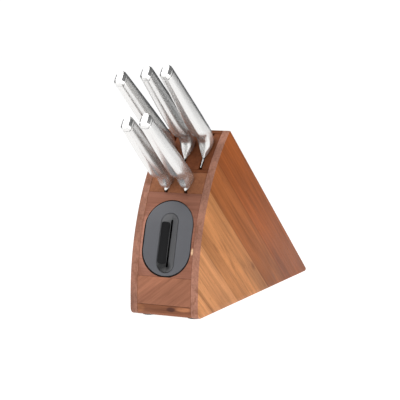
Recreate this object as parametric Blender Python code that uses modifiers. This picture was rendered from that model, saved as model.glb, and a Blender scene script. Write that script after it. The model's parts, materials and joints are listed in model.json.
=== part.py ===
"""A wooden knife block with a built-in wheel sharpener and five all-steel knives.

The block's front is a shallow arc, its back a straight slope, and its slots run parallel to that slope.
Three frames place everything:
- the block frame: X across, Y from the front backwards, Z up from the wood's underside;
- the slope frame: at the ridge, Y down the back slope, Z square out of it, so slots and knives lie along Y;
- the sharpener frame: on the front arc, Y straight in through the face plate, Z up along it.
"""

import math

import bmesh
import bpy
from mathutils import Vector

MM = 0.001

# Block
BLOCK_WIDTH = 78.0 * MM
BLOCK_DEPTH = 324.0 * MM
BLOCK_HEIGHT = 189.0 * MM
FRONT_RADIUS = 216.0 * MM
FRONT_UPRIGHT = 19.0 * MM
SIDE_THICKNESS = 8.3 * MM
TOE_RADIUS = 7.0 * MM
RIDGE_RADIUS = 1.6 * MM
HEEL_RADIUS = 2.4 * MM
EDGE_ROUND = 0.9 * MM
GLUE_GAP = 0.3 * MM
BASE_THICKNESS = 12.0 * MM
LOWER_BOARD_TOP = 41.5 * MM
BACK_BOARD = 5.0 * MM
BACK_ROW_DEPTH = 48.7 * MM
ROW_DIVIDER = 3.4 * MM
FRONT_ROW_DEPTH = 24.4 * MM
BOARD_WEB = 4.0 * MM

# Slots and knives
BLADE_THICKNESS = 2.4 * MM
SLOT_CLEARANCE = 0.8 * MM
BACK_SLOT_PITCH = 20.8 * MM
FRONT_SLOT_PITCH = 22.6 * MM
SEAT_GAP = 0.5 * MM
HANDLE_BUTT_HEIGHT = 15.6 * MM
HANDLE_BUTT_WIDTH = 11.6 * MM
HANDLE_HEIGHT = 22.0 * MM
HANDLE_WIDTH = 14.8 * MM
KEEL_HEIGHT = 15.0 * MM
KEEL_POWER = 0.65
END_CAP = 5.0 * MM
CAP_CHAMFER = 2.4 * MM
CAP_END_ROUND = 0.6 * MM
TANG_LENGTH = 62.0 * MM
TANG_TOP = 5.0 * MM
TANG_BOTTOM = -2.4 * MM
CUTTING_EDGE = 0.3 * MM

# Sharpener
PLATE_MARGIN = 3.0 * MM
PLATE_TOP_MARGIN = 7.3 * MM
PLATE_BOTTOM_MARGIN = 0.5 * MM
PLATE_DEPTH = 6.0 * MM
PLATE_GAP = 0.8 * MM
THROAT_WIDTH = 19.8 * MM
THROAT_HEIGHT = 62.5 * MM
THROAT_DROP = 5.0 * MM
THROAT_DEPTH = 7.0 * MM
THROAT_LIP = 0.5 * MM
SLIT_WIDTH = 2.2 * MM
SLIT_HEIGHT = 50.0 * MM
PAD_THICKNESS = 0.6 * MM
PAD_END_MARGIN = 3.0 * MM
PAD_CORNER = 2.4 * MM
WHEEL_RADIUS = 13.0 * MM
WHEEL_WIDTH = 6.0 * MM
WHEEL_GAP = 0.8 * MM
WHEEL_BEVEL = 3.2 * MM
AXLE_RADIUS = 2.5 * MM
RUNNING_GAP = 0.08 * MM
SPACER_RADIUS = 4.5 * MM
HOUSING_WIDTH = 44.0 * MM
HOUSING_HEIGHT = 66.0 * MM
HOUSING_WALL = 2.0 * MM
FIXING_SPACING = 40.0 * MM
SCREW_RADIUS = 1.4 * MM
SCREW_HEAD_RADIUS = 2.8 * MM
SCREW_HEAD = 1.4 * MM
SCREW_LENGTH = 8.0 * MM

# Feet
FOOT_HEIGHT = 2.2 * MM
FOOT_RADIUS = 8.5 * MM
FOOT_INSET_X = 4.6 * MM
FOOT_INSET_FRONT = 20.0 * MM
FOOT_INSET_REAR = 22.0 * MM

CLEARANCE = 0.3 * MM
ARC_STEPS = 24
ROUND_STEPS = 32

# Each knife: slot row, slot's place across, drop of the handle's centre line below the back slope, forward lean
# in degrees, handle length, blade length, heel drop below the centre line, edge drop, tip height, spine and edge
# curve exponents.
KNIVES = {
    "bread_knife": ("back", -1, 30.0, 3.0, 138.0, 205.0, 17.5, 19.0, -9.0, 5.0, 6.0),
    "carving_knife": ("back", 0, 22.4, 0.5, 129.5, 195.0, 19.5, 20.5, 2.0, 6.0, 2.6),
    "chef_knife": ("back", 1, 21.5, 0.0, 129.5, 200.0, 18.5, 30.5, -10.0, 4.0, 3.4),
    "paring_knife": ("front", -1, 71.6, 1.5, 116.0, 90.0, 9.8, 10.4, -3.0, 3.0, 3.0),
    "utility_knife": ("front", 1, 70.8, 1.9, 122.0, 130.0, 9.8, 10.6, -1.0, 4.0, 3.0),
}
KNIFE_FIELDS = (
    "row",
    "place",
    "drop",
    "lean",
    "handle",
    "blade",
    "heel",
    "edge",
    "tip",
    "spine_power",
    "edge_power",
)

# Derived sizes
HALF_WIDTH = BLOCK_WIDTH / 2
INNER_HALF = HALF_WIDTH - SIDE_THICKNESS
FRONT_SWEEP = math.asin((BLOCK_HEIGHT - FRONT_UPRIGHT) / FRONT_RADIUS)
RIDGE = Vector((FRONT_RADIUS * (1 - math.cos(FRONT_SWEEP)), BLOCK_HEIGHT))
SLOPE = math.atan2(BLOCK_HEIGHT, BLOCK_DEPTH - RIDGE.x)
DOWN_SLOPE = Vector((math.cos(SLOPE), -math.sin(SLOPE)))
OUT_OF_SLOPE = Vector((math.sin(SLOPE), math.cos(SLOPE)))
ARC_CENTRE = Vector((FRONT_RADIUS, FRONT_UPRIGHT))
SLOT_HALF = BLADE_THICKNESS / 2 + SLOT_CLEARANCE
BACK_ROW_TOP = -BACK_BOARD - GLUE_GAP
BACK_ROW_BOTTOM = BACK_ROW_TOP - BACK_ROW_DEPTH
DIVIDER_TOP = BACK_ROW_BOTTOM - GLUE_GAP
DIVIDER_BOTTOM = DIVIDER_TOP - ROW_DIVIDER
FRONT_ROW_TOP = DIVIDER_BOTTOM - GLUE_GAP
FRONT_ROW_BOTTOM = FRONT_ROW_TOP - FRONT_ROW_DEPTH
DECK_BOTTOM = FRONT_ROW_BOTTOM - GLUE_GAP
BASE_TOP = BASE_THICKNESS + GLUE_GAP


def new_collection(name):
    collection = bpy.data.collections.new(name)
    bpy.context.scene.collection.children.link(collection)
    return collection


def clear_scene():
    for obj in list(bpy.data.objects):
        bpy.data.objects.remove(obj, do_unlink=True)


def new_material(name, colour, roughness, metallic=0.0):
    material = bpy.data.materials.new(name)
    material.use_nodes = True
    shader = material.node_tree.nodes["Principled BSDF"]
    shader.inputs["Base Color"].default_value = (*colour, 1.0)
    shader.inputs["Roughness"].default_value = roughness
    shader.inputs["Metallic"].default_value = metallic
    material.diffuse_color = (*colour, 1.0)
    return material


clear_scene()
PARTS = new_collection("knife_block")
CUTTERS = new_collection("cutters")
SIDE_WOOD = new_material("side_wood", (0.46, 0.19, 0.07), 0.45)
FRONT_WOOD = new_material("front_wood", (0.24, 0.09, 0.05), 0.45)
DECK_WOOD = new_material("deck_wood", (0.36, 0.13, 0.05), 0.45)
STEEL = new_material("satin_steel", (0.72, 0.71, 0.69), 0.28, 1.0)
PLATE_PLASTIC = new_material("plate_plastic", (0.13, 0.135, 0.15), 0.5)
BLACK_PLASTIC = new_material("black_plastic", (0.02, 0.02, 0.022), 0.5)
CERAMIC = new_material("ceramic", (0.03, 0.03, 0.029), 0.6)
RUBBER = new_material("foot_rubber", (0.02, 0.02, 0.02), 0.85)
BRIGHT_STEEL = new_material("bright_steel", (0.75, 0.75, 0.76), 0.2, 1.0)


def add_empty(name, parent=None, location=(0, 0, 0), turn_x=0.0):
    empty = bpy.data.objects.new(name, None)
    PARTS.objects.link(empty)
    empty.parent = parent
    empty.location = location
    empty.rotation_euler = (turn_x, 0, 0)
    return empty


def add_mesh(name, bm, material, parent, location=(0, 0, 0), rotation=(0, 0, 0), cutter=False):
    """Turns a finished bmesh into a named object, with its faces pointing out."""
    bmesh.ops.recalc_face_normals(bm, faces=bm.faces)
    mesh = bpy.data.meshes.new(name)
    bm.to_mesh(mesh)
    bm.free()
    return place(name, mesh, material, parent, location, rotation, cutter)


def place(name, mesh, material, parent, location, rotation, cutter=False):
    obj = bpy.data.objects.new(name, mesh)
    (CUTTERS if cutter else PARTS).objects.link(obj)
    obj.parent = parent
    obj.location = location
    obj.rotation_euler = rotation
    if material:
        mesh.materials.append(material)
    if cutter:
        obj.hide_render = True
        obj.display_type = "WIRE"
    return obj


def smooth(obj, degrees=30):
    obj.data.shade_smooth()
    obj.data.set_sharp_from_angle(angle=math.radians(degrees))
    return obj


def boolean(obj, cutter, operation="DIFFERENCE"):
    modifier = obj.modifiers.new(operation.lower(), "BOOLEAN")
    modifier.operation = operation
    modifier.solver = "EXACT"
    modifier.object = cutter


def outline_bmesh(points, half_depth):
    """A flat outline, given as 2D points, as a prism about its own plane, made from a filled curve."""
    curve = bpy.data.curves.new("outline", "CURVE")
    curve.dimensions = "2D"
    curve.fill_mode = "BOTH"
    curve.extrude = half_depth
    spline = curve.splines.new("POLY")
    spline.points.add(len(points) - 1)
    for point, (a, b) in zip(spline.points, points):
        point.co = (a, b, 0, 1)
    spline.use_cyclic_u = True
    obj = bpy.data.objects.new("outline", curve)
    CUTTERS.objects.link(obj)
    evaluated = obj.evaluated_get(bpy.context.evaluated_depsgraph_get())
    mesh = bpy.data.meshes.new_from_object(evaluated)
    bm = bmesh.new()
    bm.from_mesh(mesh)
    bpy.data.objects.remove(obj, do_unlink=True)
    bpy.data.curves.remove(curve)
    bpy.data.meshes.remove(mesh)
    bmesh.ops.remove_doubles(bm, verts=bm.verts, dist=0.00001)
    bmesh.ops.dissolve_limit(bm, angle_limit=0.002, verts=bm.verts, edges=bm.edges)
    return bm


def loft(rings):
    """A solid through rings of equally many points, closed at both ends."""
    bm = bmesh.new()
    loops = [[bm.verts.new(point) for point in ring] for ring in rings]
    count = len(loops[0])
    for first, second in zip(loops, loops[1:]):
        for i in range(count):
            j = (i + 1) % count
            bm.faces.new((first[i], first[j], second[j], second[i]))
    bm.faces.new(loops[0])
    bm.faces.new(loops[-1])
    return bm


def turned(name, profile, material, parent, location, rotation=(0, 0, 0), closed=False, steps=ROUND_STEPS):
    """A turned piece about its own Z, from a profile of (radius, height) points run down its outer side."""
    bm = bmesh.new()
    verts = [bm.verts.new((radius, 0, height)) for radius, height in profile]
    for first, second in zip(verts, verts[1:]):
        bm.edges.new((first, second))
    if closed:
        bm.edges.new((verts[-1], verts[0]))
    mesh = bpy.data.meshes.new(name)
    bm.to_mesh(mesh)
    bm.free()
    obj = place(name, mesh, material, parent, location, rotation)
    screw = obj.modifiers.new("turn", "SCREW")
    screw.axis = "Z"
    screw.steps = steps
    screw.render_steps = steps
    screw.use_merge_vertices = True
    screw.merge_threshold = 0.00001
    screw.use_smooth_shade = False
    return obj


def cylinder_cutter(name, radius, length, parent, location, rotation=(0, 0, 0)):
    bm = bmesh.new()
    bmesh.ops.create_cone(
        bm, cap_ends=True, segments=ROUND_STEPS, radius1=radius, radius2=radius, depth=length
    )
    return add_mesh(name, bm, None, parent, location, rotation, cutter=True)


# --- The block's side outline -------------------------------------------------------------------------------


def fillet(corner, way_in, way_out, radius, steps=4):
    """Points of a round corner between two straight directions of travel."""
    turn = way_in.angle(way_out)
    reach = radius * math.tan(turn / 2)
    start = corner - way_in * reach
    end = corner + way_out * reach
    middle = (way_out - way_in).normalized() * (radius / math.cos(turn / 2))
    centre = corner + middle
    first = start - centre
    last = end - centre
    points = []
    for i in range(steps + 1):
        share = i / steps
        ray = first.slerp(last, share)
        points.append(centre + ray.normalized() * radius)
    return points


def front_arc(steps=ARC_STEPS):
    for i in range(steps):
        angle = FRONT_SWEEP * i / steps
        yield Vector((1 - math.cos(angle), math.sin(angle))) * FRONT_RADIUS + Vector((0, FRONT_UPRIGHT))


def side_outline():
    """The block seen from its side, as (y, z) points: toe, front arc, ridge and the heel at the back."""
    up = Vector((0, 1))
    along_arc = Vector((math.sin(FRONT_SWEEP), math.cos(FRONT_SWEEP)))
    toe = fillet(Vector((0, 0)), Vector((-1, 0)), up, TOE_RADIUS)
    ridge = fillet(RIDGE, along_arc, DOWN_SLOPE, RIDGE_RADIUS)
    heel = fillet(Vector((BLOCK_DEPTH, 0)), DOWN_SLOPE, Vector((-1, 0)), HEEL_RADIUS)
    return toe + list(front_arc()) + ridge + heel


def clip(points, normal, limit):
    """The part of an outline on the side of a line where point . normal <= limit."""
    kept = []
    for here, there in zip(points, points[1:] + points[:1]):
        a = here.dot(normal) - limit
        b = there.dot(normal) - limit
        if a <= 0:
            kept.append(here)
        if (a < 0 < b) or (b < 0 < a):
            kept.append(here.lerp(there, a / (a - b)))
    return kept


def band(points, high, low):
    """The part of an outline between two distances from the back slope, both measured outwards."""
    offset = RIDGE.dot(OUT_OF_SLOPE)
    points = clip(points, OUT_OF_SLOPE, offset + high)
    return clip(points, -OUT_OF_SLOPE, -(offset + low))


def surface_height(out):
    """How far up the slope frame the front arc stands, at a distance out of the back slope."""
    start = RIDGE + OUT_OF_SLOPE * out - ARC_CENTRE
    along = start.dot(-DOWN_SLOPE)
    return -along + math.sqrt(along * along - start.length_squared + FRONT_RADIUS * FRONT_RADIUS)


def board(name, points, low_x, high_x, material, parent, round_side=0):
    """A board of the block: an outline in the side view, from low_x to high_x, its outer edges rounded."""
    bm = outline_bmesh(points, (high_x - low_x) / 2)
    obj = add_mesh(
        name,
        bm,
        material,
        parent,
        location=((low_x + high_x) / 2, 0, 0),
        rotation=(math.radians(90), 0, math.radians(90)),
    )
    if round_side:
        round_outer_edges(obj, round_side)
    return smooth(obj)


def round_outer_edges(obj, side):
    """Marks the outline edges of the board's outer face for a bevel."""
    bm = bmesh.new()
    bm.from_mesh(obj.data)
    weights = bm.edges.layers.float.new("bevel_weight_edge")
    for edge in bm.edges:
        outer = all(vert.co.z * side > 0 for vert in edge.verts)
        if outer and edge.calc_face_angle(0) > math.radians(60):
            edge[weights] = 1.0
    bm.to_mesh(obj.data)
    bm.free()
    bevel = obj.modifiers.new("edges", "BEVEL")
    bevel.limit_method = "WEIGHT"
    bevel.width = EDGE_ROUND
    bevel.segments = 2


# --- Wooden block -------------------------------------------------------------------------------------------


def below(points, top):
    return clip(points, Vector((0, 1)), top)


def above(points, bottom):
    return clip(points, Vector((0, -1)), -bottom)


def build_sides(block):
    for name, side in (("left_side_panel", -1), ("right_side_panel", 1)):
        low, high = sorted((side * INNER_HALF, side * HALF_WIDTH))
        board(name, side_outline(), low, high, SIDE_WOOD, block, round_side=side)


def core(name, points, material, block):
    half = INNER_HALF - GLUE_GAP
    return board(name, points, -half, half, material, block)


def slots(row):
    if row == "back":
        return [-BACK_SLOT_PITCH, 0.0, BACK_SLOT_PITCH]
    return [-FRONT_SLOT_PITCH / 2, FRONT_SLOT_PITCH / 2]


def build_row(row, high, low, block):
    """The slats of one row, one on each side of every slot."""
    points = band(above(side_outline(), BASE_TOP), high, low)
    half = INNER_HALF - GLUE_GAP
    edges = [-half]
    for place_x in slots(row):
        edges += [place_x - SLOT_HALF, place_x + SLOT_HALF]
    edges.append(half)
    for number, (low_x, high_x) in enumerate(zip(edges[::2], edges[1::2]), start=1):
        board(f"{row}_row_slat_{number}", points, low_x, high_x, DECK_WOOD, block)


def build_block(block):
    outline = side_outline()
    build_sides(block)
    core("back_board", band(outline, 0.001, -BACK_BOARD), DECK_WOOD, block)
    build_row("back", BACK_ROW_TOP, BACK_ROW_BOTTOM, block)
    core("row_divider", band(above(outline, BASE_TOP), DIVIDER_TOP, DIVIDER_BOTTOM), DECK_WOOD, block)
    build_row("front", FRONT_ROW_TOP, FRONT_ROW_BOTTOM, block)
    base = core("base_board", below(band(outline, BACK_ROW_TOP, -1.0), BASE_THICKNESS), FRONT_WOOD, block)
    body = band(outline, DECK_BOTTOM, -1.0)
    split = sharpener_board_back()
    ahead = clip(body, Vector((1, 0)), split)
    lower = below(above(ahead, BASE_TOP), LOWER_BOARD_TOP)
    lower_board = core("lower_front_board", lower, FRONT_WOOD, block)
    upper = above(ahead, LOWER_BOARD_TOP + GLUE_GAP)
    sharpener_board = core("sharpener_board", upper, FRONT_WOOD, block)
    behind = above(clip(body, Vector((-1, 0)), -(split + GLUE_GAP)), BASE_TOP)
    core("core_block", behind, DECK_WOOD, block)
    return base, (lower_board, sharpener_board)


# --- Sharpener ----------------------------------------------------------------------------------------------


def deck_edge_height():
    """Height of the edge where the slotted deck meets the sharpener board."""
    out = DECK_BOTTOM
    point = RIDGE + OUT_OF_SLOPE * out - DOWN_SLOPE * surface_height(out)
    return point.y


def plate_angles():
    top = deck_edge_height() - PLATE_TOP_MARGIN
    bottom = LOWER_BOARD_TOP + PLATE_BOTTOM_MARGIN
    return [math.asin((z - FRONT_UPRIGHT) / FRONT_RADIUS) for z in (bottom, top)]


def plate_tilt():
    return sum(plate_angles()) / 2


def plate_half_height():
    low, high = plate_angles()
    return FRONT_RADIUS * math.sin((high - low) / 2)


def wheel_depth():
    return THROAT_DEPTH + CLEARANCE + WHEEL_RADIUS


def housing_back():
    return wheel_depth() + WHEEL_RADIUS + HOUSING_WALL + 2 * SCREW_HEAD


def sharpener_board_back():
    """Where the sharpener board ends, behind the deepest corner of the sharpener's pocket."""
    tilt = plate_tilt()
    front = FRONT_RADIUS * (1 - math.cos(tilt))
    deepest = (housing_back() + CLEARANCE) * math.cos(tilt) + HOUSING_HEIGHT / 2 * math.sin(tilt)
    return front + deepest + BOARD_WEB


def stadium(half_width, half_height, steps=10, centre=0.0):
    """A round-ended slot outline in (x, z), run the same way round with the same number of points."""
    straight = half_height - half_width
    points = []
    for side, start in ((1, 0.0), (-1, math.pi)):
        for i in range(steps + 1):
            angle = start + math.pi * i / steps
            points.append(
                (half_width * math.cos(angle), centre + side * straight + half_width * math.sin(angle))
            )
    return points


FACE_ON = (math.radians(90), 0, 0)


def stadium_prism(name, half_width, half_height, near, far, material, frame, centre=0.0, cutter=False):
    """A prism through the sharpener frame, from depth near to depth far."""
    bm = outline_bmesh(stadium(half_width, half_height, centre=centre), (far - near) / 2)
    return add_mesh(name, bm, material, frame, (0, (near + far) / 2, 0), FACE_ON, cutter)


def air_in_front(frame, proud):
    """The space outside the front arc, lifted by proud, as a cutter that shapes what stands in the front."""
    reach = plate_half_height() * 1.3
    arc = []
    for i in range(ARC_STEPS + 1):
        rise = -reach + 2 * reach * i / ARC_STEPS
        arc.append(Vector((FRONT_RADIUS - math.sqrt(FRONT_RADIUS**2 - rise**2) - proud, rise)))
    outline = arc + [Vector((-FRONT_RADIUS / 6, reach)), Vector((-FRONT_RADIUS / 6, -reach))]
    bm = outline_bmesh(outline, HALF_WIDTH)
    turn = (math.radians(90), 0, math.radians(90))
    return add_mesh("front_air", bm, None, frame, (0, 0, 0), turn, cutter=True)


def funnel(name, frame):
    """The throat's tapered hollow: a tall round-ended mouth closing to the slit."""
    mouth = stadium(THROAT_WIDTH / 2 - THROAT_LIP, THROAT_HEIGHT / 2 - THROAT_LIP, centre=-THROAT_DROP)
    slit = stadium(SLIT_WIDTH / 2, SLIT_HEIGHT / 2, centre=-THROAT_DROP)
    rings = []
    for outline, depth in ((mouth, -PLATE_DEPTH), (mouth, THROAT_LIP), (slit, THROAT_DEPTH - THROAT_LIP)):
        rings.append([(x, depth, z) for x, z in outline])
    rings.append([(x, THROAT_DEPTH + PLATE_DEPTH, z) for x, z in slit])
    return add_mesh(name, loft(rings), None, frame, cutter=True)


def build_face(frame):
    plate = stadium_prism(
        "sharpener_face",
        INNER_HALF - PLATE_MARGIN - PLATE_GAP,
        plate_half_height() - PLATE_GAP,
        -PLATE_DEPTH,
        PLATE_DEPTH,
        PLATE_PLASTIC,
        frame,
    )
    hole = stadium_prism(
        "throat_hole",
        THROAT_WIDTH / 2,
        THROAT_HEIGHT / 2,
        -2 * PLATE_DEPTH,
        2 * PLATE_DEPTH,
        None,
        frame,
        centre=-THROAT_DROP,
        cutter=True,
    )
    air = air_in_front(frame, 0.0)
    boolean(plate, air)
    boolean(plate, hole)
    throat = stadium_prism(
        "sharpener_throat",
        THROAT_WIDTH / 2 - CLEARANCE,
        THROAT_HEIGHT / 2 - CLEARANCE,
        -PLATE_DEPTH,
        THROAT_DEPTH,
        PLATE_PLASTIC,
        frame,
        centre=-THROAT_DROP,
    )
    boolean(throat, air)
    boolean(throat, funnel("throat_hollow", frame))
    for obj in (plate, throat):
        smooth(obj)


def build_pad(frame):
    """The dark guide pad that lies on the left slope of the throat."""
    mouth_edge = Vector((-THROAT_WIDTH / 2 + THROAT_LIP, THROAT_LIP))
    slit_edge = Vector((-SLIT_WIDTH / 2, THROAT_DEPTH - THROAT_LIP))
    run = slit_edge - mouth_edge
    across = Vector((run.y, -run.x)).normalized()
    centre = (mouth_edge + slit_edge) / 2 + across * (CLEARANCE + PAD_THICKNESS / 2)
    half_run = run.length / 2 - PAD_THICKNESS
    half_rise = SLIT_HEIGHT / 2 - PAD_END_MARGIN
    radius = min(PAD_CORNER, half_run)
    points = []
    for x_side, z_side, start in ((1, 1, 0.0), (-1, 1, 0.5), (-1, -1, 1.0), (1, -1, 1.5)):
        for i in range(5):
            angle = math.pi * (start + i / 8)
            points.append(
                (
                    x_side * (half_run - radius) + radius * math.cos(angle),
                    z_side * (half_rise - radius) + radius * math.sin(angle),
                )
            )
    bm = outline_bmesh(points, PAD_THICKNESS / 2)
    lean = math.atan2(run.y, run.x)
    return add_mesh(
        "guide_pad", bm, BLACK_PLASTIC, frame, (centre.x, centre.y, -THROAT_DROP), (math.radians(90), 0, lean)
    )


def build_housing(frame, front_boards):
    """The tub behind the face plate, its pocket in the wood, and the screws that hold it."""
    near = THROAT_DEPTH + CLEARANCE
    far = housing_back()
    half_width = HOUSING_WIDTH / 2
    half_height = HOUSING_HEIGHT / 2
    housing = stadium_prism("sharpener_housing", half_width, half_height, near, far, BLACK_PLASTIC, frame)
    hollow = stadium_prism(
        "housing_hollow",
        half_width - HOUSING_WALL,
        half_height - HOUSING_WALL,
        near - HOUSING_WALL,
        far - HOUSING_WALL,
        None,
        frame,
        cutter=True,
    )
    boolean(housing, hollow)
    turn = (0, math.radians(90), 0)
    place_of_axle = (0, wheel_depth(), -THROAT_DROP)
    axle_hole = cylinder_cutter(
        "axle_hole", AXLE_RADIUS + RUNNING_GAP, 2 * HOUSING_WIDTH, frame, place_of_axle, turn
    )
    boolean(housing, axle_hole)
    pocket = stadium_prism(
        "housing_pocket",
        half_width + CLEARANCE,
        half_height + CLEARANCE,
        -PLATE_DEPTH,
        far + CLEARANCE,
        None,
        frame,
        cutter=True,
    )
    seat = stadium_prism(
        "plate_seat",
        INNER_HALF - PLATE_MARGIN,
        plate_half_height(),
        -2 * PLATE_DEPTH,
        PLATE_DEPTH + CLEARANCE,
        None,
        frame,
        cutter=True,
    )
    throat_pocket = stadium_prism(
        "throat_pocket",
        THROAT_WIDTH / 2,
        THROAT_HEIGHT / 2,
        -PLATE_DEPTH,
        THROAT_DEPTH + CLEARANCE,
        None,
        frame,
        centre=-THROAT_DROP,
        cutter=True,
    )
    for board_cut in front_boards:
        for cutter in (seat, throat_pocket, pocket):
            boolean(board_cut, cutter)
    for name, side in (("lower", -1), ("upper", 1)):
        rise = side * FIXING_SPACING / 2
        hole = cylinder_cutter(
            f"fixing_hole_{name}",
            SCREW_RADIUS + CLEARANCE,
            2 * (SCREW_LENGTH + HOUSING_WALL + CLEARANCE),
            frame,
            (0, far - HOUSING_WALL, rise),
            FACE_ON,
        )
        boolean(housing, hole)
        for board_cut in front_boards:
            boolean(board_cut, hole)
        screw(f"housing_screw_{name}", frame, (0, far - HOUSING_WALL - CLEARANCE, rise), (math.radians(-90), 0, 0))
    smooth(housing)


def screw(name, parent, location, rotation):
    """A pan-head wood screw whose head sits below its own origin and whose shank points along its own +Z."""
    profile = [
        (0, SCREW_LENGTH),
        (SCREW_RADIUS * 0.4, SCREW_LENGTH),
        (SCREW_RADIUS, SCREW_LENGTH - 2 * SCREW_RADIUS),
        (SCREW_RADIUS, 0),
        (SCREW_HEAD_RADIUS, 0),
        (SCREW_HEAD_RADIUS, -SCREW_HEAD * 0.5),
        (SCREW_HEAD_RADIUS * 0.7, -SCREW_HEAD),
        (0, -SCREW_HEAD),
    ]
    return turned(name, profile, BRIGHT_STEEL, parent, location, rotation, steps=16)


def hollow_width(below_centre):
    """Half the width of the housing's hollow at a distance below its centre, where its end is round."""
    radius = HOUSING_WIDTH / 2 - HOUSING_WALL
    into_end = max(0.0, below_centre - (HOUSING_HEIGHT - HOUSING_WIDTH) / 2)
    return math.sqrt(radius * radius - into_end * into_end)


def build_wheels(frame):
    """The axle and, running on it, two wheels whose bevelled inner faces make the sharpening notch."""
    centre = (0, wheel_depth(), -THROAT_DROP)
    axle_half = HOUSING_WIDTH / 2 - CLEARANCE
    profile = [(0, axle_half), (AXLE_RADIUS, axle_half), (AXLE_RADIUS, -axle_half), (0, -axle_half)]
    turned("sharpener_axle", profile, BRIGHT_STEEL, frame, centre, (0, math.radians(90), 0))
    bore = AXLE_RADIUS + RUNNING_GAP
    inner = WHEEL_GAP / 2
    outer = inner + WHEEL_WIDTH
    wheel = [
        (bore, outer),
        (WHEEL_RADIUS, outer),
        (WHEEL_RADIUS, inner + WHEEL_BEVEL),
        (WHEEL_RADIUS - WHEEL_BEVEL, inner),
        (bore, inner),
    ]
    spacer_end = hollow_width(THROAT_DROP + SPACER_RADIUS) - CLEARANCE
    spacer = [
        (bore, spacer_end),
        (SPACER_RADIUS, spacer_end),
        (SPACER_RADIUS, outer + CLEARANCE),
        (bore, outer + CLEARANCE),
    ]
    for name, side in (("left", -1), ("right", 1)):
        turn = (0, side * math.radians(90), 0)
        turned(f"{name}_wheel", wheel, CERAMIC, frame, centre, turn, closed=True)
        turned(f"{name}_spacer", spacer, BLACK_PLASTIC, frame, centre, turn, closed=True)


def build_sharpener(block, front_boards):
    tilt = plate_tilt()
    on_arc = (
        0,
        FRONT_RADIUS * (1 - math.cos(tilt)),
        FRONT_UPRIGHT + FRONT_RADIUS * math.sin(tilt),
    )
    frame = add_empty("sharpener_frame", block, on_arc, -tilt)
    build_face(frame)
    build_pad(frame)
    build_housing(frame, front_boards)
    build_wheels(frame)


# --- Knives -------------------------------------------------------------------------------------------------


def handle_ring(y, top, bottom, top_half, bottom_half):
    """One cross-section of a handle: round along the spine, a flat belly with a facet each side.

    It narrows to the belly's width over the height of the bolster's keel, so a thin belly makes a V.
    """
    half = (top - bottom) / 2
    middle = (top + bottom) / 2
    right = [
        (0.0, 1.0),
        (0.42, 0.97),
        (0.78, 0.84),
        (0.96, 0.58),
        (1.0, 0.15),
        (1.0, -0.55),
        (0.56, -0.96),
        (0.0, -1.0),
    ]
    left = [(-across, up) for across, up in reversed(right[1:-1])]
    ring = []
    for across, up in right + left:
        share = min(1.0, (1 + up) * half / KEEL_HEIGHT) ** KEEL_POWER
        width = bottom_half + (top_half - bottom_half) * share
        ring.append((across * width, y, middle + up * half))
    return ring


def handle_stations(length, heel):
    """Sections from the bolster's end at 0 back to the butt: distance, spine, belly and both half widths."""
    butt = HANDLE_BUTT_HEIGHT / 2
    grip = HANDLE_HEIGHT / 2
    wide = HANDLE_WIDTH / 2
    thin = BLADE_THICKNESS / 2
    hollow = -grip * 0.56
    stations = [
        (0.0, grip * 0.80, -heel, wide * 0.90, thin),
        (1.6 * MM, grip * 0.90, -heel + 1.8 * MM, wide * 0.95, wide * 0.30),
        (5.0 * MM, grip * 0.97, (hollow - heel) * 0.5 - 1.0 * MM, wide * 0.98, wide * 0.68),
        (11.0 * MM, grip, hollow - 1.2 * MM, wide, wide * 0.88),
        (18.0 * MM, grip, hollow, wide, wide * 0.92),
        (26.0 * MM, grip, -grip * 0.86, wide, wide * 0.94),
        (34.0 * MM, grip, -grip, wide, wide * 0.96),
        (44.0 * MM, grip * 0.985, -grip, wide * 0.98, wide * 0.96),
    ]
    taper_start = stations[-1][0]
    taper_end = length - END_CAP - CLEARANCE
    for share in (0.33, 0.66, 1.0):
        y = taper_start + (taper_end - taper_start) * share
        part = (y - taper_start) / (length - taper_start)
        half_height = grip + (butt - grip) * part
        half_width = wide + (HANDLE_BUTT_WIDTH / 2 - wide) * part
        stations.append((y, half_height, -half_height, half_width, half_width))
    return stations


def build_handle(name, spec, frame):
    stations = handle_stations(spec["handle"], spec["heel"])
    rings = [handle_ring(-y, *sizes) for y, *sizes in stations]
    handle = add_mesh(f"{name}_handle", loft(rings), STEEL, frame)
    bm = bmesh.new()
    bmesh.ops.create_cube(bm, size=1.0)
    for vert in bm.verts:
        vert.co.x *= BLADE_THICKNESS + 2 * CLEARANCE
        vert.co.y *= TANG_LENGTH + 2 * CLEARANCE
        vert.co.z *= TANG_TOP - TANG_BOTTOM + 2 * CLEARANCE
    centre = (0, -TANG_LENGTH / 2, (TANG_TOP + TANG_BOTTOM) / 2)
    pocket = add_mesh(f"{name}_tang_pocket", bm, None, frame, centre, cutter=True)
    boolean(handle, pocket)
    smooth(handle, 40)


def build_end_cap(name, spec, frame):
    start = spec["handle"] - END_CAP
    half_height = HANDLE_BUTT_HEIGHT / 2
    half_width = HANDLE_BUTT_WIDTH / 2
    end = spec["handle"]
    inner = (half_height - CAP_END_ROUND, half_width - CAP_CHAMFER)
    rings = [
        handle_ring(-start, half_height, -half_height, half_width, half_width),
        handle_ring(-(end - CAP_CHAMFER), half_height, -half_height, half_width, half_width),
        handle_ring(-end, inner[0], -inner[0], inner[1], inner[1]),
    ]
    smooth(add_mesh(f"{name}_end_cap", loft(rings), STEEL, frame))


def blade_ring(y, top, bottom, thickness, edge):
    bevel_start = top + (bottom - top) * 0.35
    half = thickness / 2
    return [
        (-half, y, top),
        (half, y, top),
        (half * 0.96, y, bevel_start),
        (edge / 2, y, bottom),
        (-edge / 2, y, bottom),
        (-half * 0.96, y, bevel_start),
    ]


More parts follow.
